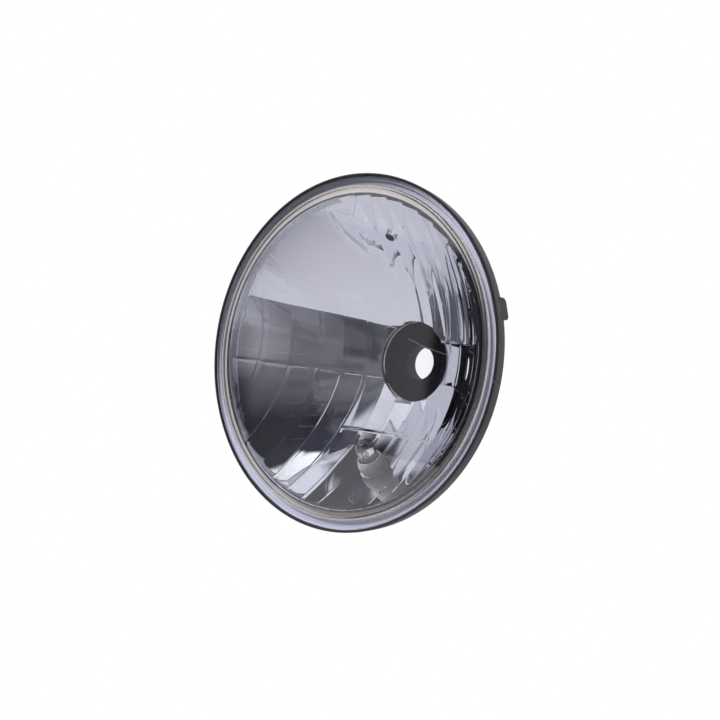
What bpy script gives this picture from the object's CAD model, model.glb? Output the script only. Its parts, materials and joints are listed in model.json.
# %% [markdown]
# # A round motorcycle headlight
# The lamp is a 7 inch insert: a clear domed lens bonded into the rim of a black moulded bowl.
# The bowl's inside is coated with aluminium over columns and bands of facets, and a rubber boot
# closes it behind the bulb opening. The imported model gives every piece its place, and the cells
# below give each one its real surface. The lens faces -Y, the bulb end +Y, and the origin is at
# the rim's seating face. Sizes are in millimetres and turn to metres where a mesh is made.

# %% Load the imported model
import json
import math

import bmesh
import bpy
from mathutils import Matrix, Vector

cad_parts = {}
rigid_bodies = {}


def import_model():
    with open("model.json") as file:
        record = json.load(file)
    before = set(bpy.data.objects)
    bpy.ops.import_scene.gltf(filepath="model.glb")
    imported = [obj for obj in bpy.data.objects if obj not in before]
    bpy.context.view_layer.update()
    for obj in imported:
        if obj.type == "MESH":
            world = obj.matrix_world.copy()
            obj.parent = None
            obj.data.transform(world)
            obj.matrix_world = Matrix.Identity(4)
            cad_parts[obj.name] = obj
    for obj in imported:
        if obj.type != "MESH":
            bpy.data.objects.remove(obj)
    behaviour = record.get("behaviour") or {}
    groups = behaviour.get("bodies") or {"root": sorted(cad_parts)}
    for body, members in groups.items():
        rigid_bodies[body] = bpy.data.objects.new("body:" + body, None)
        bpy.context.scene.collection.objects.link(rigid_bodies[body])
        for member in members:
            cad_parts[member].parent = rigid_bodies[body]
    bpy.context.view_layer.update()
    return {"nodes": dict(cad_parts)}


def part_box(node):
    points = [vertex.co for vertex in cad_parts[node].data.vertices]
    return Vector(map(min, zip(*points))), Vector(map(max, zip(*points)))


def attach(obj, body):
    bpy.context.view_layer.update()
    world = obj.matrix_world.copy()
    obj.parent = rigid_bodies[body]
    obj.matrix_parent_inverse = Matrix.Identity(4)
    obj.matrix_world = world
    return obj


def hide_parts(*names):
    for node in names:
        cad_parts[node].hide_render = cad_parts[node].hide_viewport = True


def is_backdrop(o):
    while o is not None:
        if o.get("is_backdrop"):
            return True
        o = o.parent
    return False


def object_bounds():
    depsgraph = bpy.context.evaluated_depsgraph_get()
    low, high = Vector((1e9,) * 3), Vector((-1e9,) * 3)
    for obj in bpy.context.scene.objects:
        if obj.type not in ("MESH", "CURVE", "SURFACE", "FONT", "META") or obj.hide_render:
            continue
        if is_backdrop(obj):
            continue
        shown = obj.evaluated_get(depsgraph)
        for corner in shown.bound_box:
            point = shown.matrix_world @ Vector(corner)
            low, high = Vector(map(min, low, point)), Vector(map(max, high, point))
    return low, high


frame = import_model()
MM = 0.001
print("nodes:", ", ".join(sorted(frame["nodes"])))

# %% [markdown]
# ## Camera first
# A mirror looks different from every side, so the camera comes before any shape. It was matched
# to the photo from two circles: the front edge of the rim and the edge of the bulb opening. The
# roll turns the lamp slightly clockwise in the picture.

# %% Camera
PHOTO_PX = 720
AZIMUTH, ELEVATION, ROLL = math.radians(38.77), math.radians(-0.91), math.radians(7.45)
DISTANCE = 1.0
FOCAL_PX = 2029.4
ORIGIN_PX = (348.41, 351.70)
RIM_DEPTH = 6.8

back = Vector((
    math.sin(AZIMUTH) * math.cos(ELEVATION),
    -math.cos(AZIMUTH) * math.cos(ELEVATION),
    math.sin(ELEVATION),
))
level_right = Vector((math.cos(AZIMUTH), math.sin(AZIMUTH), 0.0))
level_up = back.cross(level_right)
right = math.cos(ROLL) * level_right + math.sin(ROLL) * level_up
up = back.cross(right)

camera_data = bpy.data.cameras.new("camera")
camera_data.sensor_width = 36.0
camera_data.lens = FOCAL_PX / PHOTO_PX * camera_data.sensor_width
camera_data.shift_x = (PHOTO_PX / 2 - ORIGIN_PX[0]) / PHOTO_PX
camera_data.shift_y = -(PHOTO_PX / 2 - ORIGIN_PX[1]) / PHOTO_PX
camera_data.clip_start = 0.05
camera = bpy.data.objects.new("camera", camera_data)
bpy.context.scene.collection.objects.link(camera)
aim = Vector((0.0, -RIM_DEPTH * MM, 0.0))
for column, axis in enumerate((right, up, back, aim + back * DISTANCE)):
    for row in range(3):
        camera.matrix_world[row][column] = axis[row]
bpy.context.scene.camera = camera
print("lens mm:", round(camera_data.lens, 1))

# %% [markdown]
# ## The mirror's facets
# The mirror is one paraboloid cut into columns 10 mm wide and into bands between cross seams.
# Each facet leans and bulges a little, which spreads the light, and where two facets don't meet
# there is a small step. Functions of x and z describe this better than modelling by hand,
# because one number moves a whole row of seams.

# %% Facets
FOCAL = 25.8
MIRROR_R, MIRROR_EDGE, MIRROR_DEPTH = 75.4, -2.3, 52.77
OPENING_R = 20.7
COLUMN_W, COLUMNS, SEAM_SHIFT = 10.0, 9, 2.0
REACH = COLUMNS * COLUMN_W + 1
LOWEST_SEAM = -39.0
UPPER_BULGES, UPPER_BULGE = {-2: 2.0, -1: 2.8}, 3.5
SLIGHT_BULGE, LOWER_BULGE = 0.1, 0.35
EVEN_STEP, ODD_STEP, RIGHT_STEP = 0.5, 0.3, 0.4
ROLLED_EDGE, ROLLED_W = 0.5, 3.0
CALM_FROM, CALM_SHARE = 40, 0.55


def mirror_y(x, z):
    return MIRROR_DEPTH - (x * x + z * z) / (4 * FOCAL)


def column_edge(i):
    return SEAM_SHIFT + i * COLUMN_W


def band_limits(band, x):
    """The upper and lower end of a band at x, with band 0 at the top."""
    upper = 15 + 0.09 * abs(x) if x < 0 else 11.0
    lower = -10.0 if x < 0 else min(-9.7, -1.7 - x * math.tan(math.radians(15.5)))
    lines = (REACH, upper, lower, LOWEST_SEAM, -REACH)
    return lines[band], lines[band + 1]


def forward(i, band, x):
    """How far a facet of column i stands forward of the paraboloid at x."""
    across = (x - column_edge(i)) / COLUMN_W
    if band == 0 and i >= -2:
        return UPPER_BULGES.get(i, UPPER_BULGE) * (1 - across**2)
    arch = 1 - (2 * across - 1) ** 2
    if band <= 1:
        return SLIGHT_BULGE * arch
    if i < -2:
        step = (EVEN_STEP if i % 2 == 0 else ODD_STEP) * (1 - across)
        rolled = 0 if i == -6 else ROLLED_EDGE * max(1 - across * COLUMN_W / ROLLED_W, 0) ** 2
        return SLIGHT_BULGE * arch + step - rolled
    return LOWER_BULGE * arch + RIGHT_STEP * (1 - across)


def facet_y(i, band, x, z):
    """The surface of a facet, with calmer relief towards the rim."""
    near_rim = min(max((math.hypot(x, z) - CALM_FROM) / (MIRROR_R - CALM_FROM), 0.0), 1.0)
    return mirror_y(x, z) - forward(i, band, x) * (1 - CALM_SHARE * near_rim**2)


print("mirror depth at the opening's edge mm:", round(mirror_y(OPENING_R, 0), 2))

# %% [markdown]
# ## The seams
# Along a seam the mould leaves a low rounded ridge. Its steep side looks to the left or down and
# reflects the table or the softbox as a thin bright line. The upper left seams are almost flush
# in the photo. Each offset across a seam has its share of the ridge's height.

# %% Seams
SEAM_PROFILE = ((-0.5, 0.0), (-0.22, 0.7), (0.0, 1.0), (0.8, 0.45), (1.6, 0.0))
RIDGE, UPPER_LEFT_RIDGE, FAINT_RIDGE = 0.27, 0.08, 0.04


def seam_ridge(sides, bands):
    """Height of the ridge along an upright seam."""
    if sides[1] <= -1 and bands[0] <= 1:
        return UPPER_LEFT_RIDGE
    return FAINT_RIDGE if sides == (-6, -5) else RIDGE


def cross_ridge(sides, bands):
    """Height of the ridge along a cross seam."""
    upper_left = bands == (0, 1) and sides[0] < 0
    beyond_lowest = bands == (2, 3) and (sides[0] < -3 or sides[0] > 2)
    return 0.0 if upper_left or beyond_lowest else RIDGE


print("width of a seam mm:", SEAM_PROFILE[-1][0] - SEAM_PROFILE[0][0])

# %% [markdown]
# ## From points to a mesh
# One helper turns a list of points and faces into an object. It also turns all faces outwards,
# which the booleans further down rely on.

# %% A mesh from points
def make_object(name, vertices, faces, material_index=None):
    """A mesh object from points in millimetres, with its faces turned outwards."""
    mesh = bpy.data.meshes.new(name)
    mesh.from_pydata([Vector(v) * MM for v in vertices], [], faces)
    if material_index:
        mesh.polygons.foreach_set("material_index", [material_index] * len(faces))
    obj = bpy.data.objects.new(name, mesh)
    bpy.context.scene.collection.objects.link(obj)
    outward = bmesh.new()
    outward.from_mesh(mesh)
    bmesh.ops.recalc_face_normals(outward, faces=outward.faces)
    outward.to_mesh(mesh)
    outward.free()
    return obj


print("one millimetre is", MM)

# %% [markdown]
# ## The mirror as a block
# The bowl gets its mirror from a cutter: a closed block that fills the room inside, with the
# facets as its back. The grid's lines follow the seams, so every step stays sharp, which a grid
# of even squares can't do.

# %% Mirror grid
ACROSS, ROWS = 12, (26, 12, 14, 22)
CORNER_LIMIT, BLOCK_FRONT = MIRROR_EDGE - 14, MIRROR_EDGE - 20


def grid_columns():
    """The upright grid lines: x, the column on that side, and a share of the seam's ridge."""
    columns = []
    for i in range(-COLUMNS, COLUMNS):
        columns += [(column_edge(i) + COLUMN_W * k / ACROSS, i, 0.0) for k in range(2, ACROSS)]
        if i < COLUMNS - 1:
            for offset, height in SEAM_PROFILE:
                columns.append((column_edge(i + 1) + offset, i if offset < 0 else i + 1, height))
    return columns


def grid_levels():
    """The cross grid lines: band, share of the way down it, offset, band to draw, ridge share."""
    levels = []
    for band in range(4):
        levels += [(band, k / ROWS[band], 0.0, band, 0.0) for k in range(1, ROWS[band])]
        if band < 3:
            for offset, height in SEAM_PROFILE[::-1]:
                levels.append((band, 1.0, offset, band + 1 if offset < 0 else band, height))
    return levels


def grid_point(column, level):
    x, i, upright = column
    line_band, share, offset, band, cross = level
    top, foot = band_limits(line_band, x)
    z = top + (foot - top) * share + offset
    ridge = 0
    if upright:
        near = round((x - SEAM_SHIFT) / COLUMN_W)
        ridge = upright * seam_ridge((near - 1, near), (band,))
    if cross:
        ridge = max(ridge, cross * cross_ridge((i,), (line_band, line_band + 1)))
    return x, max(facet_y(i, band, x, z) - ridge, CORNER_LIMIT), z


print("mirror grid:", len(grid_columns()), "by", len(grid_levels()), "points")

# %% [markdown]
# The grid's own edge is carried straight to the front and closed there by one large face, so the
# block is watertight, which the boolean needs.

# %% Closed block
def mirror_room():
    """The room inside the mirror, as a closed block whose back is the faceted surface."""
    columns, levels = grid_columns(), grid_levels()
    vertices = [grid_point(column, level) for column in columns for level in levels]
    n, last = len(levels), len(columns) - 1
    faces = [
        (a, a + 1, a + n + 1, a + n) for c in range(last) for a in range(c * n, c * n + n - 1)
    ]
    rim = [c * n for c in range(last + 1)]
    rim += [last * n + k for k in range(1, n)]
    rim += [c * n + n - 1 for c in range(last - 1, -1, -1)]
    rim += list(range(n - 2, 0, -1))
    start = len(vertices)
    vertices += [(vertices[v][0], BLOCK_FRONT, vertices[v][2]) for v in rim]
    for k in range(len(rim)):
        after = (k + 1) % len(rim)
        faces.append((rim[k], start + k, start + after, rim[after]))
    faces.append([start + k for k in range(len(rim))])
    return make_object("mirror_room", vertices, faces, material_index=1)


room = mirror_room()
print("mirror block:", len(room.data.polygons), "faces")

# %% [markdown]
# ## Turned shapes and booleans
# Nearly every piece of a lamp is turned about an axis or cut by one. One helper spins a section,
# as a lathe does. The other joins or subtracts closed meshes with Blender's manifold boolean,
# which is quick and exact enough for thin moulded edges.

# %% Spin and combine
def spin(name, profile, steps=256, place=None, material_index=None):
    """A closed profile of (radius, depth) points, turned about +Y or about a place's own Z."""
    vertices, rings = [], []
    for r, d in profile:
        count = steps if r > 0 else 1
        rings.append(range(len(vertices), len(vertices) + count))
        for k in range(count):
            a = 2 * math.pi * k / steps
            x, y = r * math.cos(a), r * math.sin(a)
            vertices.append(place @ Vector((x, y, d)) if place else Vector((x, d, y)))
    faces = []
    for here, after in zip(rings, rings[1:] + rings[:1]):
        if len(here) == 1 and len(after) == 1:
            continue
        for k in range(steps):
            quad = (here[k % len(here)], here[(k + 1) % len(here)],
                    after[(k + 1) % len(after)], after[k % len(after)])
            faces.append(list(dict.fromkeys(quad)))
    return make_object(name, vertices, faces, material_index)


def cylinder(name, radius, low, high, place=None, steps=64, material_index=None):
    profile = [(0, low), (radius, low), (radius, high), (0, high)]
    return spin(name, profile, steps, place, material_index)


def arc(centre, radius, start, end, steps=6):
    """Points of an arc in a profile, with angles in degrees from the radius axis."""
    angles = [math.radians(start + (end - start) * k / steps) for k in range(steps + 1)]
    return [(centre[0] + radius * math.cos(a), centre[1] + radius * math.sin(a)) for a in angles]


def bake(obj):
    """Puts an object's modifiers into its mesh."""
    graph = bpy.context.evaluated_depsgraph_get()
    mesh = bpy.data.meshes.new_from_object(obj.evaluated_get(graph))
    obj.modifiers.clear()
    obj.data = mesh


def combine(obj, other, operation):
    """Cuts away, adds or keeps what a second closed mesh covers, and deletes that mesh."""
    step = obj.modifiers.new(operation, "BOOLEAN")
    step.object = other
    step.operation = operation
    step.solver = "MANIFOLD"
    bake(obj)
    bpy.data.objects.remove(other)


print("points of a quarter arc:", len(arc((0, 0), 1, 0, 90)))

# %% [markdown]
# ## Sizes of the bowl and the lens
# The sizes follow one another as the real fits do. The rim's radius is read from the packed
# model, so the dressed lamp can't drift away from it.

# %% Main sizes
body_low, body_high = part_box("reflector_body")
RIM_R = (body_high.x - body_low.x) / 2 / MM
LIP_R = RIM_R - 1.4
CHANNEL_R = LIP_R - 8.8
COLLAR_R = CHANNEL_R - 1.5
CHANNEL_FLOOR = 2.2
BOWL_WALL = 2.8
SEAT_Y = mirror_y(OPENING_R, 0) + 1.6
SEAT_R, SEAT_RAISED = OPENING_R + 5.3, 2.7
NECK_R, NECK_IN, NECK_END = 34.5, 32.0, SEAT_Y + 7.3
SKIRT_END = NECK_END - 7.5
LENS_R = LIP_R - 0.3
DOME_R = LENS_R - 4.1
LENS_FRONT = -RIM_DEPTH + 0.2
LENS_BACK = LENS_FRONT + 2.35
LENS_T = 3.0
DOME_RADIUS, DOME_FOOT = 300.0, LENS_FRONT - 1.8
DOME_CENTRE = DOME_FOOT + math.sqrt(DOME_RADIUS**2 - DOME_R**2)
COLLAR_FRONT = DOME_CENTRE - math.sqrt((DOME_RADIUS - LENS_T) ** 2 - CHANNEL_R**2) + 0.4
WIRE_R = 0.6
WIRE_Y = SEAT_Y + 1.0 + 0.1 + WIRE_R
CLIP_X, CLIP_Z = OPENING_R - 0.3 + 5.1 + 0.5 + 1.8, 1.4
print("rim radius:", round(RIM_R, 2), "seat depth:", round(SEAT_Y, 2), "mm")

# %% [markdown]
# ## The reflector body
# The real body is one black moulding. Its section is spun first: collar, lens channel, lip, rim,
# the outside of the bowl one wall behind the mirror, and the neck. The inside is cut out later.
# The mesh has three materials, because the moulding is coated only in part.

# %% Shell
def bowl_point(r):
    """A point on the outside of the bowl, one wall behind the paraboloid at r."""
    slope = r / (2 * FOCAL)
    size = math.sqrt(1 + slope * slope)
    return (r + BOWL_WALL * slope / size, mirror_y(r, 0) + BOWL_WALL / size)


BOWL_TOP, BOWL_FOOT, BOWL_STEPS = MIRROR_R - 1.4, NECK_R - 1.5, 40
body_profile = [(0.0, COLLAR_FRONT), (COLLAR_R + 0.2, COLLAR_FRONT)]
body_profile += arc((CHANNEL_R - 0.3, COLLAR_FRONT + 0.3), 0.3, -90, 0, 4)
body_profile += [(CHANNEL_R, -CHANNEL_FLOOR), (LIP_R, -CHANNEL_FLOOR)]
body_profile += arc((LIP_R + 0.25, -RIM_DEPTH + 0.25), 0.25, 180, 270, 4)
body_profile += arc((RIM_R - 0.45, -RIM_DEPTH + 0.45), 0.45, -90, 0, 6)
body_profile += arc((RIM_R - 0.8 - 0.3, -0.3), 0.3, 0, 90, 4)
body_profile += [(CHANNEL_R + 0.6, 0.0)]
body_profile += [(CHANNEL_R - 0.2, 0.1), (CHANNEL_R - 0.8, 0.25), (CHANNEL_R - 1.2, 0.5)]
body_profile += [
    bowl_point(BOWL_TOP + (BOWL_FOOT - BOWL_TOP) * k / BOWL_STEPS) for k in range(BOWL_STEPS + 1)
]
body_profile += [(NECK_R, mirror_y(NECK_R, 0) + BOWL_WALL + 2)]
body_profile += arc((NECK_R - 0.5, NECK_END - 0.5), 0.5, 0, 90, 4)
body_profile += [(NECK_IN, NECK_END), (NECK_IN, SEAT_Y - SEAT_RAISED)]
body_profile += [(SEAT_R, SEAT_Y - SEAT_RAISED), (SEAT_R, SEAT_Y), (0.0, SEAT_Y)]
body = spin("reflector_shell", body_profile, 320)
for word in ("moulded_black_plastic", "vacuum_coated_aluminium", "aluminium_overspray"):
    body.data.materials.append(bpy.data.materials.new(word))
POLISHED, OVERSPRAY = 1, 2
print("section of the body:", len(body_profile), "points")

# %% [markdown]
# ## What stands on the body
# Behind the rim three lugs locate the lamp in its shell, and six thin webs stiffen the neck. The
# position lamp and the vent stand square to the mirror, so each has a place whose Z runs along
# the mirror's normal. All of it is joined before anything is cut, as it is one moulding.

# %% Lugs, webs and bosses
def square_to_mirror(x, z):
    """A place on the mirror whose Z points to the lens, square to the surface."""
    normal = Vector((-2 * x / (4 * FOCAL), -1.0, -2 * z / (4 * FOCAL))).normalized()
    turn = normal.to_track_quat("Z", "X").to_matrix().to_4x4()
    turn.translation = Vector((x, mirror_y(x, z), z))
    return turn


def prism(name, below, above):
    """A closed prism between two outlines with the same number of points."""
    n = len(below)
    faces = [list(range(n)), list(range(2 * n - 1, n - 1, -1))]
    faces += [(k, (k + 1) % n, n + (k + 1) % n, n + k) for k in range(n)]
    return make_object(name, below + above, faces)


LUG_W, LUG_T, LUG_CORNER, LUG_LENGTH, LUG_ROOT = 11.0, 6.0, 2.2, 3.4, -1.8


def locating_lug(angle):
    """A lug with rounded corners on the rim, at an angle above the horizontal."""
    corner_at = (LUG_W / 2 - LUG_CORNER, LUG_LENGTH - LUG_CORNER)
    tip = arc(corner_at, LUG_CORNER, 90, 0)
    outline = [(-LUG_W / 2, LUG_ROOT)] + [(-t, d) for t, d in tip[::-1]] + tip
    outline += [(LUG_W / 2, LUG_ROOT)]
    outer = RIM_R - 0.4
    sides = []
    for radius in (outer - LUG_T, outer):
        angles = [(math.radians(angle) + t / outer, d) for t, d in outline]
        sides.append([(radius * math.cos(a), d, radius * math.sin(a)) for a, d in angles])
    return prism("lug", *sides)


def neck_web(angle):
    """A thin web between the neck and the bowl, at an angle about the axis."""
    reach = NECK_R + 14
    outline = [
        (NECK_R - 1, mirror_y(NECK_R, 0)), (reach, mirror_y(reach, 0) + BOWL_WALL / 2),
        (reach - 1.0, mirror_y(reach - 1, 0) + BOWL_WALL + 0.5), (NECK_R + 1.6, SKIRT_END - 2.2),
        (NECK_R + 0.4, SKIRT_END - 1), (NECK_R - 1, SKIRT_END - 1),
    ]
    c, s = math.cos(math.radians(angle)), math.sin(math.radians(angle))
    sides = [[(r * c - t * s, y, r * s + t * c) for r, y in outline] for t in (-0.9, 0.9)]
    return prism("web", *sides)


for angle in (19, 161, 270):
    combine(body, locating_lug(angle), "UNION")
for k in range(6):
    combine(body, neck_web(60 * k), "UNION")
print("body with lugs and webs:", len(body.data.polygons), "faces")

# %% [markdown]
# ### Rounded corners
# A small round catches the light along an edge. One helper rounds every corner of a section
# before it is spun, which costs fewer faces than a bevel on the finished mesh.

# %% Rounded sections and bosses
def round_corners(profile, radius, steps=4):
    """A closed profile with every corner rounded, by up to the radius."""
    rounded = []
    for k, corner in enumerate(profile):
        corner = Vector(corner)
        before, after = Vector(profile[k - 1]), Vector(profile[(k + 1) % len(profile)])
        reach_b = min(radius, 0.45 * (before - corner).length)
        reach_a = min(radius, 0.45 * (after - corner).length)
        if corner.x < 0.01 or min(reach_a, reach_b) < 0.02:
            rounded.append(tuple(corner))
            continue
        start = corner + (before - corner).normalized() * reach_b
        end = corner + (after - corner).normalized() * reach_a
        for step in range(steps + 1):
            s = step / steps
            point = start * (1 - s) ** 2 + corner * 2 * s * (1 - s) + end * s**2
            rounded.append(tuple(point))
    return rounded


def pin(name, radius, low, high, x, z, steps=64):
    """A cylinder along the lamp's depth at a point off its axis."""
    obj = cylinder(name, radius, low, high, None, steps)
    obj.data.transform(Matrix.Translation((x * MM, 0, z * MM)))
    return obj


position_place = square_to_mirror(4.2, -56.3)
vent_place = square_to_mirror(1.5, 62.0)
boss_profile = round_corners([(0, -9.0), (11.4, -9.0), (11.4, -1.0), (0, -1.0)], 0.8)
combine(body, spin("boss", boss_profile, 96, position_place), "UNION")
screw_boss = pin("screw_boss", 2.2, SEAT_Y - 2.8, WIRE_Y - WIRE_R - 0.03, CLIP_X, CLIP_Z)
combine(body, screw_boss, "UNION")
combine(body, cylinder("nipple", 3.2, -10.8, -1.0, vent_place, 48), "UNION")
print("position lamp at", [round(v, 1) for v in position_place.translation], "mm")

# %% [markdown]
# ## Cutting the mirror
# The mirror block is trimmed to the round throat of the lamp and then cut out of the body. A
# cutter hands its material to the faces that it leaves, so the facets come out polished and the
# collar as duller overspray. The vent gets a low tube and the bulb opening a rounded lip.

# %% Mirror and openings
throat_profile = [(0, COLLAR_FRONT - 2), (COLLAR_R + 0.7, COLLAR_FRONT - 2)]
throat_profile += arc((COLLAR_R + 0.7, COLLAR_FRONT + 0.7), 0.7, 270, 180, 6)
throat_profile += [(MIRROR_R, MIRROR_EDGE), (MIRROR_R, MIRROR_DEPTH + 1), (0, MIRROR_DEPTH + 1)]
combine(room, spin("throat", throat_profile, 320, None, OVERSPRAY), "INTERSECT")
combine(body, room, "DIFFERENCE")
combine(body, cylinder("vent_tube", 2.8, -2.0, 3.4, vent_place, 48, POLISHED), "UNION")
lip_profile = arc((OPENING_R + 0.4, mirror_y(OPENING_R, 0) - 0.1), 0.55, 0, 330, 11)
combine(body, spin("opening_lip", lip_profile, 192, None, OVERSPRAY), "UNION")
opening = cylinder("opening", OPENING_R, SEAT_Y - 14, SEAT_Y + 2, None, 192, POLISHED)
combine(body, opening, "DIFFERENCE")
combine(body, cylinder("grommet_hole", 8.2, -11.0, 8.0, position_place), "DIFFERENCE")
print("body with its mirror:", len(body.data.polygons), "faces")

# %% [markdown]
# ## Holes, notch and groove
# The seat has four rivet holes, a screw hole for the clip, and a notch that lets the main bulb in
# one way only. A short groove crosses the edge of the rim at the right, as the photo shows. The
# front edge of the collar shines like the facets there, so its faces get the polished coat.

# %% Holes and finish
RIVETS, RIVET_R, RIVET_CIRCLE_R, SCREW_R = 4, 0.9, 23.55, 1.3
BRIGHT_EDGE = 0.75


def block(name, low, high, place=None, turn=0.0, material_index=None):
    """A box between two corners, turned about the depth axis by an angle in degrees."""
    c, s = math.cos(math.radians(turn)), math.sin(math.radians(turn))
    corners = []
    for x in (low[0], high[0]):
        for y in (low[1], high[1]):
            for z in (low[2], high[2]):
                point = Vector((x, y, z))
                if place:
                    point = place @ point
                corners.append((point.x * c - point.z * s, point.y, point.x * s + point.z * c))
    faces = [(0, 1, 3, 2), (4, 6, 7, 5), (0, 4, 5, 1), (2, 3, 7, 6), (0, 2, 6, 4), (1, 5, 7, 3)]
    return make_object(name, corners, faces, material_index)


for k in range(RIVETS):
    a = 2 * math.pi * (k + 0.5) / RIVETS
    x, z = RIVET_CIRCLE_R * math.cos(a), RIVET_CIRCLE_R * math.sin(a)
    combine(body, pin("rivet_hole", RIVET_R, SEAT_Y - 2.3, SEAT_Y + 1, x, z, 32), "DIFFERENCE")
screw_hole = pin("screw_hole", SCREW_R, SEAT_Y - 2.2, WIRE_Y, CLIP_X, CLIP_Z, 48)
combine(body, screw_hole, "DIFFERENCE")
notch = block(
    "notch", (-8.0, SEAT_Y - 6, -OPENING_R - 1.3), (2.0, SEAT_Y + 1, -OPENING_R + 1.7),
    material_index=POLISHED,
)
combine(body, notch, "DIFFERENCE")
groove = block("groove", (RIM_R - 0.9, -RIM_DEPTH - 1, -0.7), (RIM_R + 2, 1.0, 0.7), turn=-4.0)
combine(body, groove, "DIFFERENCE")
combine(body, cylinder("vent_hole", 2.5, -14.0, 6.0, vent_place, 48), "DIFFERENCE")
for face in body.data.polygons:
    if face.material_index == OVERSPRAY and face.center.y < (COLLAR_FRONT + BRIGHT_EDGE) * MM:
        face.material_index = POLISHED
print("holes cut, faces:", len(body.data.polygons))

# %% [markdown]
# ## A piece of the lamp
# A finished piece is shaded smoothly, with its sharp edges kept. Then it rides on the lamp's one
# body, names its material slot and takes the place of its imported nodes.

# %% Smooth and hang
def piece(obj, angle, slot, *nodes):
    """Hangs a finished piece on the lamp, with edges sharper than the angle kept crisp."""
    mesh = obj.data
    mesh.polygons.foreach_set("use_smooth", [True] * len(mesh.polygons))
    mesh.set_sharp_from_angle(angle=math.radians(angle))
    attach(obj, "root")
    if nodes:
        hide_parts(*nodes)
    print(obj.name, len(obj.data.polygons), "faces")


piece(body, 30, "reflector", "reflector_body")

# %% [markdown]
# ## The lens
# A clear polycarbonate moulding: a shallow dome, a step down to a flat flange, and a tongue
# behind the flange that stands in the sealant. It has its real thickness, so it bends and
# reflects the light as the real one does, which a single sheet of faces can't.

# %% Lens
SHOULDER_R, DOME_STEPS = 1.5, 48
TONGUE_MID, TONGUE_END = (DOME_R + LENS_R) / 2 - 0.8, -CHANNEL_FLOOR - 0.5


def dome(radius, limit_r):
    """An arc of the dome from the axis out to a limit, about the dome's centre."""
    limit = math.degrees(math.asin(limit_r / radius))
    angles = [math.radians(limit * k / DOME_STEPS) for k in range(DOME_STEPS + 1)]
    return [(radius * math.sin(a), DOME_CENTRE - radius * math.cos(a)) for a in angles]


lens_profile = dome(DOME_RADIUS, DOME_R - SHOULDER_R)
shoulder_at = (DOME_R - SHOULDER_R, DOME_FOOT + SHOULDER_R + 0.25)
lens_profile += arc(shoulder_at, SHOULDER_R, -72, 0, 10)
lens_profile += [(DOME_R, LENS_FRONT - 0.2), (DOME_R + 0.2, LENS_FRONT)]
lens_profile += arc((LENS_R - 0.4, LENS_FRONT + 0.4), 0.4, -90, 0, 5)
lens_profile += arc((LENS_R - 0.3, LENS_BACK - 0.3), 0.3, 0, 90, 4)
lens_profile += [
    (TONGUE_MID + 1.1, LENS_BACK), (TONGUE_MID + 1.0, TONGUE_END), (TONGUE_MID - 1.0, TONGUE_END),
    (TONGUE_MID - 1.1, LENS_BACK), (DOME_R - 1.6, LENS_BACK),
]
lens_profile += dome(DOME_RADIUS - LENS_T, DOME_R - 1.6)[::-1]
lens = spin("clear_lens", lens_profile, 320)
lens.data.materials.append(bpy.data.materials.new("clear_polycarbonate"))
piece(lens, 25, "clear_lens", "lens")

# %% [markdown]
# ## The rubber boot
# The boot is a thin rubber moulding that slips over the neck and keeps dust out. Its section has
# the skirt, the roof with a shallow ring, the web and the collar around the hole, and all its
# corners are rounded, as rubber's are.

# %% Rubber boot
BOOT_FRONT = WIRE_Y + WIRE_R + 0.4
HOLE_R, PAD_R, FACE_R, SKIRT_R = 8.7, 12.9, CLIP_X - 4.3, NECK_R + 2.3
WEB_BACK, ROOF = BOOT_FRONT + 0.4 + 2.3, NECK_END + 2.3
COLLAR_WALL_R, COLLAR_END = HOLE_R + 2.3, BOOT_FRONT + 8.6
boot_profile = [
    (HOLE_R, BOOT_FRONT), (PAD_R, BOOT_FRONT), (PAD_R + 0.15, BOOT_FRONT + 0.4),
    (FACE_R, BOOT_FRONT + 0.4), (FACE_R + 1.2, NECK_END), (NECK_R, NECK_END), (NECK_R, SKIRT_END),
    (SKIRT_R + 0.9, SKIRT_END), (SKIRT_R + 0.9, SKIRT_END + 2), (SKIRT_R, SKIRT_END + 2.6),
    (SKIRT_R, SKIRT_END + 4.8), (SKIRT_R - 0.35, SKIRT_END + 5.1),
    (SKIRT_R - 0.35, SKIRT_END + 5.9), (SKIRT_R, SKIRT_END + 6.2), (SKIRT_R, ROOF),
    (SKIRT_R - 3.4, ROOF), (SKIRT_R - 3.6, ROOF - 0.35), (SKIRT_R - 4.4, ROOF - 0.35),
    (SKIRT_R - 4.6, ROOF), (FACE_R - 0.6, ROOF), (FACE_R - 2.2, WEB_BACK),
    (COLLAR_WALL_R, WEB_BACK), (COLLAR_WALL_R, COLLAR_END - 2.2),
    (COLLAR_WALL_R - 0.3, COLLAR_END - 1.9), (COLLAR_WALL_R - 0.3, COLLAR_END - 1.3),
    (COLLAR_WALL_R, COLLAR_END - 1.0), (COLLAR_WALL_R, COLLAR_END), (HOLE_R, COLLAR_END),
]
boot = spin("boot_moulding", round_corners(boot_profile, 0.6), 224)
piece(boot, 40, "black_rubber", "rubber_boot")

# %% [markdown]
# ## The wire clip
# The clip is one bent spring wire: an eye around its screw, a run across the opening, a rounded
# bend and a free tip. One helper sweeps a circle along the points and keeps it from twisting.

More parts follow.
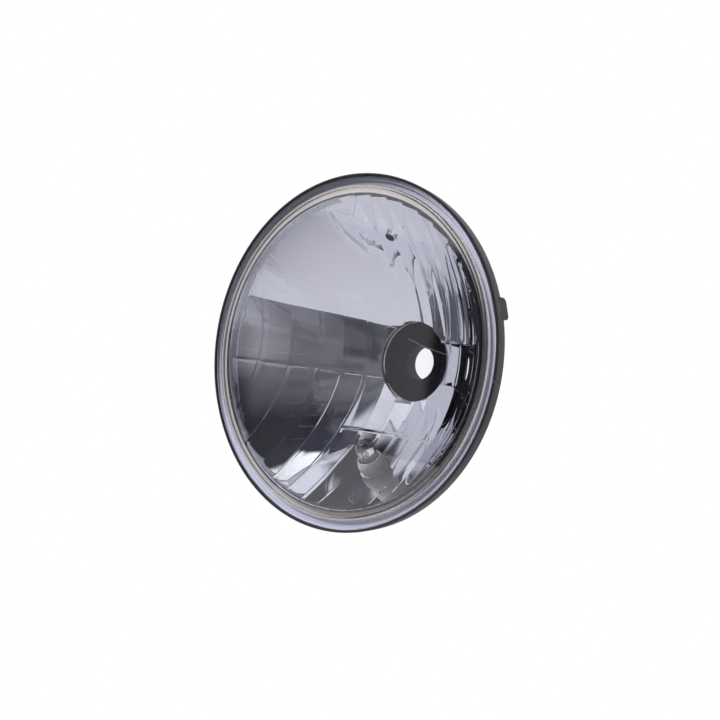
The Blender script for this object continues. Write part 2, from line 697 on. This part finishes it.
# %% Wire clip
def tube(name, path, radius, sides=12, place=None):
    """A round wire along a path of points in millimetres, with closed ends."""
    points = [place @ Vector(p) if place else Vector(p) for p in path]
    normal = None
    vertices, faces = [], []
    for k, point in enumerate(points):
        ahead = points[min(k + 1, len(points) - 1)] - points[max(k - 1, 0)]
        ahead.normalize()
        if normal is None:
            normal = ahead.orthogonal().normalized()
        normal = (normal - ahead * normal.dot(ahead)).normalized()
        across = ahead.cross(normal)
        for s in range(sides):
            a = 2 * math.pi * s / sides
            vertices.append(point + (normal * math.cos(a) + across * math.sin(a)) * radius)
    for k in range(len(points) - 1):
        for s in range(sides):
            a, b = k * sides + s, k * sides + (s + 1) % sides
            faces.append((a, b, b + sides, a + sides))
    last = (len(points) - 1) * sides
    faces.append(list(range(sides))[::-1])
    faces.append([last + s for s in range(sides)])
    return make_object(name, vertices, faces)


EYE_R, EYE_STEPS, BEND_REACH = 2.0, 27, 1.6
bend, tip = Vector((2.0, 8.3)), Vector((-8.0, 11.4))
wire_path = []
for k in range(EYE_STEPS + 1):
    a = math.radians(80 - 330 * (EYE_STEPS - k) / EYE_STEPS)
    wire_path.append((CLIP_X + EYE_R * math.cos(a), WIRE_Y, CLIP_Z + EYE_R * math.sin(a)))
eye_end = Vector((wire_path[-1][0], wire_path[-1][2]))
bend_start = bend + (eye_end - bend).normalized() * BEND_REACH
bend_end = bend + (tip - bend).normalized() * BEND_REACH
for step in range(7):
    s = step / 6
    point = bend_start * (1 - s) ** 2 + bend * 2 * s * (1 - s) + bend_end * s**2
    wire_path.append((point.x, WIRE_Y, point.y))
wire_path.append((tip.x, WIRE_Y, tip.y))
clip = tube("clip_wire", wire_path, WIRE_R - 0.12, 20)
piece(clip, 50, "spring_wire", "bulb_clip")

# %% [markdown]
# ## The position lamp's holder
# The holder is a milky moulding, barrel-shaped in front with a flared mouth for the bulb, a
# flange behind the bowl and eight ribs to grip it by. Two slots pass the contacts. A thin loop of
# contact metal lies in the mouth and stands for the brownish metal that the photo shows there.

# %% Holder
BARREL_R, HOLDER_FRONT, MOUTH_R, MOUTH_FLOOR = 7.4, 7.9, 5.0, -0.5
LEAD_X, RIBS = 1.8, 8
holder_profile = round_corners([
    (0, -21.0), (6.6, -21.0), (6.6, -13.0), (10.4, -13.0), (10.4, -11.0), (BARREL_R, -11.0),
], 0.5)
holder_profile += [
    (BARREL_R, 0.3), (7.25, 0.5), (6.3, 0.8), (6.2, 1.1), (6.35, 1.7), (6.8, 2.7), (7.05, 3.6),
    (7.1, 4.3), (7.0, 5.1), (6.75, 6.0), (6.4, 6.8), (6.1, 7.4), (5.95, 7.75),
    (5.75, HOLDER_FRONT), (5.6, 7.75), (5.5, 7.4), (5.1, 5.8), (MOUTH_R, 5.4),
    (MOUTH_R, MOUTH_FLOOR), (0, MOUTH_FLOOR),
]
holder = spin("holder_barrel", holder_profile, 96, position_place)
for k in range(RIBS):
    a = 2 * math.pi * (k + 0.5) / RIBS
    rib_path = [(6.5 * math.cos(a), 6.5 * math.sin(a), z) for z in (-20.4, -13.5)]
    combine(holder, tube("rib", rib_path, 0.8, 12, position_place), "UNION")
for x in (-LEAD_X, LEAD_X):
    slot = block("slot", (x - 0.25, -1.5, -22.0), (x + 0.25, 1.5, -0.45), position_place)
    combine(holder, slot, "DIFFERENCE")
piece(holder, 35, "milky_plastic", "position_holder")
loop = spin("contact_loop", arc((5.05, 6.9), 0.28, 0, 330, 11), 96, position_place)
piece(loop, 60, "contact_brass")

# %% [markdown]
# ## The wedge bulb
# The bulb is a thin tube of glass, closed by a melted tip in front and pressed to a flat wedge
# behind. It has an inner and an outer wall, which make the double outline of a real bulb.

# %% Bulb glass
GLASS_R, GLASS_WALL, TUBE_TOP, GLASS_FLOOR, GLASS_FOOT = 4.7, 0.7, 13.5, 6.0, 4.4
inner_r, nib = GLASS_R - GLASS_WALL, TUBE_TOP + GLASS_R
glass_profile = [(0, GLASS_FOOT), (GLASS_R - 1.2, GLASS_FOOT), (GLASS_R, GLASS_FOOT + 1.0)]
glass_profile += arc((0, TUBE_TOP), GLASS_R, 0, 78, 14)
glass_profile += [(0.75, nib + 0.1), (0.55, nib + 0.5), (0, nib + 0.7)]
glass_profile += arc((0, TUBE_TOP), inner_r, 0, 90, 12)[::-1]
glass_profile += [(inner_r, GLASS_FLOOR + 0.8), (inner_r - 0.8, GLASS_FLOOR), (0, GLASS_FLOOR)]
bulb = spin("wedge_bulb_glass", glass_profile, 96, position_place)
foot = block("foot", (-2.0, -4.3, -0.45), (2.0, 4.3, 5.2), position_place)
bevel = foot.modifiers.new("rounded", "BEVEL")
bevel.width, bevel.segments = 0.5 * MM, 3
bake(foot)
combine(bulb, foot, "UNION")
for x in (-LEAD_X, LEAD_X):
    beside = position_place @ Matrix.Translation((x, 0, 0))
    combine(bulb, cylinder("bore", 0.27, -1.5, 6.5, beside, 24), "DIFFERENCE")
piece(bulb, 35, "bulb_glass", "position_bulb_glass")

# %% [markdown]
# ## Filament and leads
# The filament is a coil of very thin tungsten wire. Here the wire is 0.1 mm thick, so that it
# still shows. The two leads come up through the glass foot and bend to the ends of the coil.

# %% Filament and leads
FILAMENT_AT, COIL_R, TURNS, TURN_STEPS = 13.2, 0.3, 16, 10
coil_path = []
for k in range(TURNS * TURN_STEPS + 1):
    a = 2 * math.pi * k / TURN_STEPS
    x = -LEAD_X + 2 * LEAD_X * k / (TURNS * TURN_STEPS)
    coil_path.append((x, COIL_R * math.cos(a), FILAMENT_AT + COIL_R * math.sin(a)))
coil = tube("tungsten_coil", coil_path, 0.05, 6, position_place)
piece(coil, 60, "filament_wire", "position_filament")
leads = []
for side, word in ((-1, "left"), (1, "right")):
    lead_path = [(side * LEAD_X, 0, z) for z in (-0.45, 6.0, 10.0, 12.2)]
    lead_path += [(side * 1.78, 0.06, 12.7), (side * 1.74, 0.0, FILAMENT_AT + 0.2)]
    leads.append(tube("lead_wire_" + word, lead_path, 0.24, 12, position_place))
    piece(leads[-1], 60, "filament_wire", "position_lead_" + word)

# %% [markdown]
# ## The sealant
# The lens is bonded with a butyl bead in the channel. The lens' tongue squeezes it, so its free
# surface curves a little. Through the clear flange it shows as pale rings.

# %% Sealant
TOUCH, GAP_STEPS = 0.05, 7
inner_edge, outer_edge = TONGUE_MID - 1.15, TONGUE_MID + 1.15
bead_profile = [(CHANNEL_R, -CHANNEL_FLOOR), (CHANNEL_R, LENS_BACK + 0.02)]
for k in range(1, GAP_STEPS):
    r = CHANNEL_R + (inner_edge - CHANNEL_R) * k / GAP_STEPS
    bead_profile.append((r, LENS_BACK + 0.02 + 0.25 * math.sin(math.pi * k / GAP_STEPS)))
bead_profile += [(inner_edge, LENS_BACK + TOUCH), (inner_edge, TONGUE_END + TOUCH)]
bead_profile += [(outer_edge, TONGUE_END + TOUCH), (outer_edge, LENS_BACK + TOUCH)]
for k in range(1, 4):
    r = outer_edge + (LIP_R - outer_edge) * k / 4
    bead_profile.append((r, LENS_BACK + TOUCH + 0.2 * math.sin(math.pi * k / 4)))
bead_profile += [(LIP_R, LENS_BACK + TOUCH), (LIP_R, -CHANNEL_FLOOR)]
bead = spin("butyl_bead", bead_profile, 256)
piece(bead, 30, "sealant", "sealant_bead")

# %% [markdown]
# ## Materials
# Every colour is an sRGB hex value turned to linear by one function, and one small function adds
# a node with its settings and links.

# %% Material helpers
def linear(hex_colour):
    values = []
    for k in (1, 3, 5):
        s = int(hex_colour[k:k + 2], 16) / 255
        values.append(s / 12.92 if s <= 0.04045 else ((s + 0.055) / 1.055) ** 2.4)
    return (*values, 1.0)


def add(tree, kind, settings=None, links=None):
    """Adds a node, sets its properties or input values, and links its inputs."""
    node = tree.nodes.new(kind)
    for key, value in (settings or {}).items():
        if hasattr(node, key) and key not in node.inputs:
            setattr(node, key, value)
        else:
            node.inputs[key].default_value = value
    for key, output in (links or {}).items():
        tree.links.new(output, node.inputs[key])
    return node


def surface(name, settings):
    """A material with one Principled shader, ready for its own texture nodes."""
    material = bpy.data.materials.get(name) or bpy.data.materials.new(name)
    material.use_nodes = True
    tree = material.node_tree
    tree.nodes.clear()
    shader = add(tree, "ShaderNodeBsdfPrincipled", settings)
    add(tree, "ShaderNodeOutputMaterial", {}, {"Surface": shader.outputs["BSDF"]})
    return material, tree, shader


def dress(item, material):
    """Gives a piece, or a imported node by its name, one material."""
    obj = frame["nodes"].get(item) if isinstance(item, str) else item
    obj.data.materials.clear()
    obj.data.materials.append(material)


print("mid grey in linear light:", round(linear("#808080")[0], 3))

# %% [markdown]
# ### Patterns
# Grain is noise in the model's own space, sized in millimetres on the lamp. Spread stretches it
# over a range, relief makes it a bump, and tones lets the base colour drift between two colours.

# %% Pattern helpers
def grain(tree, size_mm, detail=2.0):
    """Noise in the model's own space, with spots about the given size."""
    settings = {"Scale": 1 / (size_mm * MM), "Detail": detail}
    spot = add(tree, "ShaderNodeTexCoord").outputs["Object"]
    return add(tree, "ShaderNodeTexNoise", settings, {"Vector": spot}).outputs["Fac"]


def spread(tree, value, low, high):
    """Stretches noise, which stays near its middle, over a range."""
    settings = {"From Min": 0.3, "From Max": 0.7, "To Min": low, "To Max": high}
    return add(tree, "ShaderNodeMapRange", settings, {"Value": value}).outputs["Result"]


def relief(tree, shader, value, depth_mm):
    """A bump of the given depth under a pattern."""
    settings = {"Distance": depth_mm * MM, "Strength": 1.0}
    bump = add(tree, "ShaderNodeBump", settings, {"Height": value})
    tree.links.new(bump.outputs["Normal"], shader.inputs["Normal"])


def blend_colours(tree, share, first, second):
    """The first colour where the share is 0 and the second where it is 1."""
    node = add(tree, "ShaderNodeMix", {"data_type": "RGBA"}, {"Factor": share})
    for value, socket in ((first, node.inputs[6]), (second, node.inputs[7])):
        if isinstance(value, str):
            value = linear(value)
        if isinstance(value, tuple):
            socket.default_value = value
        else:
            tree.links.new(value, socket)
    return node.outputs[2]


def tones(tree, shader, share, first, second):
    """Lets the base colour drift between two hex colours."""
    colour = blend_colours(tree, share, first, second)
    tree.links.new(colour, shader.inputs["Base Color"])


def mottled(name, settings, spots, colours, sheen_spots, sheen):
    """A surface whose tone and roughness both drift in spots of given sizes."""
    material, tree, shader = surface(name, settings)
    tones(tree, shader, spread(tree, grain(tree, *spots), 0.0, 1.0), *colours)
    tree.links.new(spread(tree, grain(tree, sheen_spots), *sheen), shader.inputs["Roughness"])
    return material, tree, shader


print("noise scale of a 0.5 mm pattern:", 1 / (0.5 * MM))

# %% [markdown]
# ### Moulded plastics and rubber
# The bowl is a black moulding with the fine grain of an eroded steel mould, which softens its
# sheen. The boot is duller, with a trace of dust that lightens it in patches. The milky holder
# lets light in a little way, so a subsurface share keeps it from looking like painted metal.

# %% Plastics and rubber
black_plastic, tree, shader = mottled(
    "moulded_black_plastic", {"IOR": 1.49}, (9.0,), ("#1b1c21", "#232429"), 2.5, (0.38, 0.52))
relief(tree, shader, grain(tree, 0.35), 0.012)
rubber, tree, shader = mottled(
    "moulded_rubber", {"IOR": 1.52, "Specular IOR Level": 0.3},
    (12.0, 4.0), ("#151518", "#1d1d20"), 3.0, (0.62, 0.8))
relief(tree, shader, grain(tree, 0.25), 0.01)
for item in (boot, "position_grommet", "vent_cap"):
    dress(item, rubber)
milky, tree, shader = surface("milky_plastic", {
    "IOR": 1.49, "Subsurface Weight": 0.35, "Subsurface Scale": 0.6 * MM, "Roughness": 0.42,
})
tones(tree, shader, spread(tree, grain(tree, 5.0), 0.0, 1.0), "#a5a29f", "#b4b1ad")
relief(tree, shader, grain(tree, 0.6), 0.008)
dress(holder, milky)
print("moulded:", black_plastic.name, rubber.name, milky.name)

# %% [markdown]
# ### Butyl sealant
# The bead is matt and slightly lumpy. In the photo it looks beige beside the dome and bluish
# white under the flat flange, so its tone changes with the distance from the lamp's axis.

# %% Sealant material
FLANGE_FROM, FLANGE_TO = 83.0, 83.8
sealant, tree, shader = surface("butyl_sealant", {"IOR": 1.5, "Roughness": 0.6})
spot = add(tree, "ShaderNodeTexCoord").outputs["Object"]
flat = add(tree, "ShaderNodeVectorMath", {"operation": "MULTIPLY"}, {0: spot})
flat.inputs[1].default_value = (1.0, 0.0, 1.0)
from_axis = add(tree, "ShaderNodeVectorMath", {"operation": "LENGTH"}, {0: flat.outputs["Vector"]})
under_flange = add(
    tree, "ShaderNodeMapRange", {"From Min": FLANGE_FROM * MM, "From Max": FLANGE_TO * MM},
    {"Value": from_axis.outputs["Value"]})
tones(tree, shader, under_flange.outputs["Result"], "#c6c0b6", "#cfd0dc")
relief(tree, shader, grain(tree, 1.5, 3.0), 0.05)
dress(bead, sealant)
print("bead:", sealant.name)

# %% [markdown]
# ### The vacuum coated mirror
# Aluminium is evaporated onto a base coat, so the mirror is almost perfect, but for a slight
# waviness a few millimetres long that bends reflections as in the photo. On the collar the coat
# is a thin overspray and looks duller.

# %% Mirror coat
mirror_coat, tree, shader = surface("vacuum_coated_aluminium", {
    "Base Color": linear("#e8e8ec"), "Metallic": 1.0, "Roughness": 0.0,
})
relief(tree, shader, grain(tree, 7.0, 1.0), 0.004)
overspray, tree, shader = mottled(
    "aluminium_overspray", {"Metallic": 1.0},
    (3.0, 3.0), ("#c2c2c9", "#d8d8de"), 2.0, (0.26, 0.36))
print("inside of the bowl:", mirror_coat.name, overspray.name)

# %% [markdown]
# ### Clear lens and glass
# The lens is polycarbonate. Its hard coat has a lower index and reflects less than the bare
# plastic, hence the lower specular level. The bulb is blown glass, slightly uneven. Shadow rays
# pass both, so lamps light what is behind.

# %% Lens and glass
def let_light_through(tree, shader):
    """Lets lamps light what lies behind clear plastic or glass, as they do in a real lamp."""
    output = next(node for node in tree.nodes if node.type == "OUTPUT_MATERIAL")
    shadow = add(tree, "ShaderNodeLightPath").outputs["Is Shadow Ray"]
    clear = add(tree, "ShaderNodeBsdfTransparent", {"Color": linear("#f4f4f8")})
    mix = add(tree, "ShaderNodeMixShader", {}, {
        "Fac": shadow, 1: shader.outputs["BSDF"], 2: clear.outputs["BSDF"],
    })
    tree.links.new(mix.outputs["Shader"], output.inputs["Surface"])


polycarbonate, tree, shader = surface("clear_polycarbonate", {
    "Base Color": linear("#fbfcff"), "Roughness": 0.0, "IOR": 1.585, "Transmission Weight": 1.0,
    "Specular IOR Level": 0.35,
})
let_light_through(tree, shader)
glass, tree, shader = surface("blown_glass", {
    "Base Color": linear("#ffffff"), "Roughness": 0.0, "IOR": 1.52, "Transmission Weight": 1.0,
})
relief(tree, shader, grain(tree, 3.0, 1.0), 0.02)
let_light_through(tree, shader)
dress(bulb, glass)
print("clear:", polycarbonate.name, glass.name)

# %% [markdown]
# ### Small metal parts
# The seat ring, rivets, screw and washer are zinc plated, with a cloudy passivation. The clip is
# darker drawn spring wire. The contacts are stamped brass with a brown tarnish, and the filament
# and leads are dull tungsten. Each gets its own spots of tone and of sheen, because an even
# metal looks like paint.

# %% Metals
METALS = (
    ("zinc_plated_steel", (2.0, 4.0), ("#b9bac0", "#d2d2d4"), 1.2, (0.24, 0.4),
     ("bulb_seat_ring", "seat_rivets", "clip_screw", "clip_washer")),
    ("drawn_spring_wire", (1.5, 3.0), ("#77767a", "#93918f"), 0.6, (0.25, 0.38), (clip,)),
    ("stamped_brass", (1.6, 4.0), ("#5e4026", "#8f6a3c"), 0.8, (0.3, 0.45),
     ("position_contact_left", "position_contact_right", loop)),
    ("tungsten_wire", (0.4,), ("#6b6a6d", "#85838a"), 0.3, (0.3, 0.45), (coil, *leads)),
)
for name, spots, colours, sheen_spots, sheen, items in METALS:
    metal, tree, shader = mottled(name, {"Metallic": 1.0}, spots, colours, sheen_spots, sheen)
    for item in items:
        dress(item, metal)
    print(metal.name, "on", len(items), "pieces")

# %% [markdown]
# ### The vent's membrane
# A fine white cloth that passes air and keeps water out. A checker stands for its plain weave.

# %% Membrane
woven, tree, shader = surface("woven_membrane", {"Roughness": 0.8, "IOR": 1.35})
spot = add(tree, "ShaderNodeTexCoord").outputs["Object"]
weave = add(tree, "ShaderNodeTexChecker", {"Scale": 1 / (0.4 * MM)}, {"Vector": spot})
tones(tree, shader, weave.outputs["Fac"], "#d9d9d6", "#ecece9")
relief(tree, shader, weave.outputs["Fac"], 0.03)
dress("vent_membrane", woven)
print("membrane:", woven.name)

# %% [markdown]
# ## The studio
# The camera sees plain white, but a mirror needs something to reflect. So every other ray sees a
# room: grey walls, a dark side around the camera, a softbox at the left and one overhead. It is
# painted by the ray's direction, since a bowl turns even a plain room into rich shapes.

# %% Studio helpers
world = bpy.data.worlds.new("studio")
bpy.context.scene.world = world
world.use_nodes = True
tree = world.node_tree
tree.nodes.clear()
direction = add(tree, "ShaderNodeTexCoord").outputs["Generated"]
axes = add(tree, "ShaderNodeSeparateXYZ", {}, {"Vector": direction})
side, depth, height = axes.outputs["X"], axes.outputs["Y"], axes.outputs["Z"]


def band_of(value, low, high):
    """0 at low and 1 at high, smoothly, also where high is the smaller number."""
    settings = {"interpolation_type": "SMOOTHSTEP", "From Min": low, "From Max": high}
    return add(tree, "ShaderNodeMapRange", settings, {"Value": value}).outputs["Result"]


def multiply(first, second):
    return add(tree, "ShaderNodeMath", {"operation": "MULTIPLY"}, {0: first, 1: second}).outputs[0]


def window(value, low, high, edge):
    """1 between two values, with soft edges."""
    rising = band_of(value, low - edge, low + edge)
    return multiply(rising, band_of(value, high + edge, high - edge))


def lamp(colour, times):
    """A colour brighter than white paper, for softboxes."""
    return tuple(times * part for part in linear(colour)[:3]) + (1.0,)


def lay(colour, *zones):
    """Lays zones over a colour, one by one. A zone is a tone and the shares that bound it."""
    for tone, share, *others in zones:
        for other in others:
            share = multiply(share, other)
        colour = blend_colours(tree, share, colour, tone)
    return colour


print("studio world:", world.name)

# %% [markdown]
# ### What the mirror sees first
# The facets at the left look across to the room on the right, so the far corner there darkens
# the middle band. The lens itself mirrors the room on the left as a light haze over the boot.
# Noise keeps the walls from looking flat.

# %% First reflection
clutter = add(tree, "ShaderNodeTexNoise", {"Scale": 3.2, "Detail": 3.0}, {"Vector": direction})
cloud = clutter.outputs["Fac"]
walls = blend_colours(tree, band_of(cloud, 0.36, 0.64), "#47474e", "#6d6c73")
strips = blend_colours(tree, band_of(cloud, 0.48, 0.52), "#0e0e11", "#97969d")
camera_side = window(side, -0.27, 0.05, 0.03), window(height, -0.55, 0.36, 0.06)
left_room = band_of(height, -0.20, -0.12), band_of(side, -0.24, -0.29)
left_wall = band_of(height, 0.08, 0.02), band_of(side, -0.86, -0.92)
left_floor = band_of(height, -0.43, -0.48), band_of(side, -0.78, -0.84)
far_corner = window(side, 0.15, 0.56, 0.06), window(height, -0.50, 0.05, 0.05)
colour = lay(
    walls,
    ("#2a2a2f", *camera_side),
    ("#b1b0b8", *left_room),
    ("#1b1b1e", *left_wall),
    (strips, *left_floor),
    ("#313137", *far_corner),
)
print("nodes so far:", len(tree.nodes))

# %% [markdown]
# ### What the mirror sees in itself
# In a deep bowl most of the right side shows the left side's reflection. Those rays have bounced
# twice, so they get a room of their own, bright at the sides and dark high up. It gives the
# facets their contrast without copying any outline. The other zones here are the right wall
# and the dark upper part of the room, for all rays.

# %% Second reflection
ray = add(tree, "ShaderNodeLightPath")
inner = window(ray.outputs["Glossy Depth"], 1.5, 2.5, 0.1)
high = band_of(height, 0.40, 0.80)


def twice(tone, sides, heights):
    """A zone for rays that have bounced twice. Each window is its low, its high and its edge."""
    return tone, inner, window(side, *sides), window(height, *heights)


colour = lay(
    colour,
    twice("#f0f0f6", (-2.0, 0.20, 0.05), (-0.33, 0.42, 0.08)),
    twice("#74747c", (-0.32, 0.15, 0.04), (-0.50, -0.08, 0.04)),
    twice("#1b1b1f", (0.20, 2.0, 0.05), (0.16, 0.9, 0.03)),
    twice("#f2f2f8", (0.20, 2.0, 0.05), (-0.6, 0.16, 0.03)),
    twice(lamp("#fbfbff", 1.2), (0.47, 2.0, 0.04), (-0.12, 0.44, 0.03)),
    ("#b9b8be", band_of(side, 0.80, 0.93), window(height, -0.42, 0.50, 0.05)),
    ("#3f404b", high),
    ("#2a2a31", high, band_of(side, 0.14, 0.24)),
    twice("#08080a", (-0.64, -0.38, 0.04), (-0.62, -0.38, 0.05)),
)
print("nodes so far:", len(tree.nodes))

# %% [markdown]
# ### Softboxes and deep reflections
# The softbox is a wide, slightly uneven cloth at the left, and a small brighter one hangs above.
# Rays that have bounced three times or more end in dark grey with one light field. Behind the
# lamp all is white.

# %% Softboxes
deep = band_of(ray.outputs["Glossy Depth"], 2.5, 2.6)
cloth = blend_colours(tree, band_of(cloud, 0.3, 0.7), lamp("#f4f3f8", 0.9), lamp("#f8f7fb", 1.12))
colour = lay(
    colour,
    (cloth, band_of(side, 0.06, -0.04), window(height, 0.39, 0.88, 0.02)),
    (lamp("#ffffff", 1.9), band_of(side, 0.07, 0.0), band_of(height, 0.966, 0.974)),
    ("#2e2e34", deep),
    ("#d4d4db", deep, window(side, -0.62, 0.06, 0.05), window(height, 0.16, 0.68, 0.05)),
    ("#ffffff", band_of(depth, 0.0, 0.1)),
    ("#ffffff", ray.outputs["Is Camera Ray"]),
)
light = add(tree, "ShaderNodeBackground", {"Strength": 1.0}, {"Color": colour})
add(tree, "ShaderNodeOutputWorld", {}, {"Surface": light.outputs["Background"]})
print("world nodes:", len(tree.nodes))

# %% [markdown]
# ### The table
# The upper left of the mirror looks down on the pale table, and the table's slanting front edge
# is the border of the dark middle band. Lit paper would be noisy in the mirror, so the paper
# gives its light itself. The camera doesn't see the table, only plain white, as in the photo.

# %% Table
TABLE_Z, TABLE_LEFT, TABLE_END = -0.0905, -0.075, 0.9
EDGE_FROM, EDGE_TO = (-0.70, -0.3216), (0.45, -0.0134)
share = (TABLE_LEFT - EDGE_FROM[0]) / (EDGE_TO[0] - EDGE_FROM[0])
left_front = EDGE_FROM[1] + share * (EDGE_TO[1] - EDGE_FROM[1])
corners = ((TABLE_LEFT, left_front), EDGE_TO, (TABLE_END, TABLE_END), (TABLE_LEFT, TABLE_END))
table_mesh = bpy.data.meshes.new("table")
table_mesh.from_pydata([(x, y, TABLE_Z) for x, y in corners], [], [(0, 1, 2, 3)])
table = bpy.data.objects.new("table", table_mesh)
bpy.context.scene.collection.objects.link(table)
table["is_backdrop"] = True
table_paper = bpy.data.materials.new("table_paper")
table_paper.use_nodes = True
paper_tree = table_paper.node_tree
paper_tree.nodes.clear()
fibres = add(paper_tree, "ShaderNodeTexNoise", {"Scale": 12.0, "Detail": 3.0}).outputs["Fac"]
paper = blend_colours(paper_tree, fibres, "#e4e3e9", "#edecf1")
glow = add(paper_tree, "ShaderNodeEmission", {"Strength": 1.0}, {"Color": paper})
add(paper_tree, "ShaderNodeOutputMaterial", {}, {"Surface": glow.outputs["Emission"]})
dress(table, table_paper)
table.visible_camera = False
print("table edge at the left:", round(left_front, 3), "m in front")

# %% [markdown]
# ### The key light
# One large soft light from the upper left front shapes the matt parts. The mirror and the lens
# don't see it, since the softbox stands for it in their reflections.

# %% Key light
key_data = bpy.data.lights.new("key", "AREA")
key_data.energy, key_data.size = 52, 0.8
key = bpy.data.objects.new("key", key_data)
key.location = (-0.9, -0.9, 1.1)
key.rotation_euler = (-key.location).to_track_quat("-Z", "Y").to_euler()
key.visible_glossy = False
key.visible_transmission = False
bpy.context.scene.collection.objects.link(key)
print("key light:", key_data.energy, "W")

# %% [markdown]
# ## Finish
# The standard view transform keeps white white.

# %% View transform and finish
bpy.context.scene.view_settings.view_transform = "Standard"
low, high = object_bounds()
print("visual size mm:", [round(v / MM, 2) for v in (high - low)])
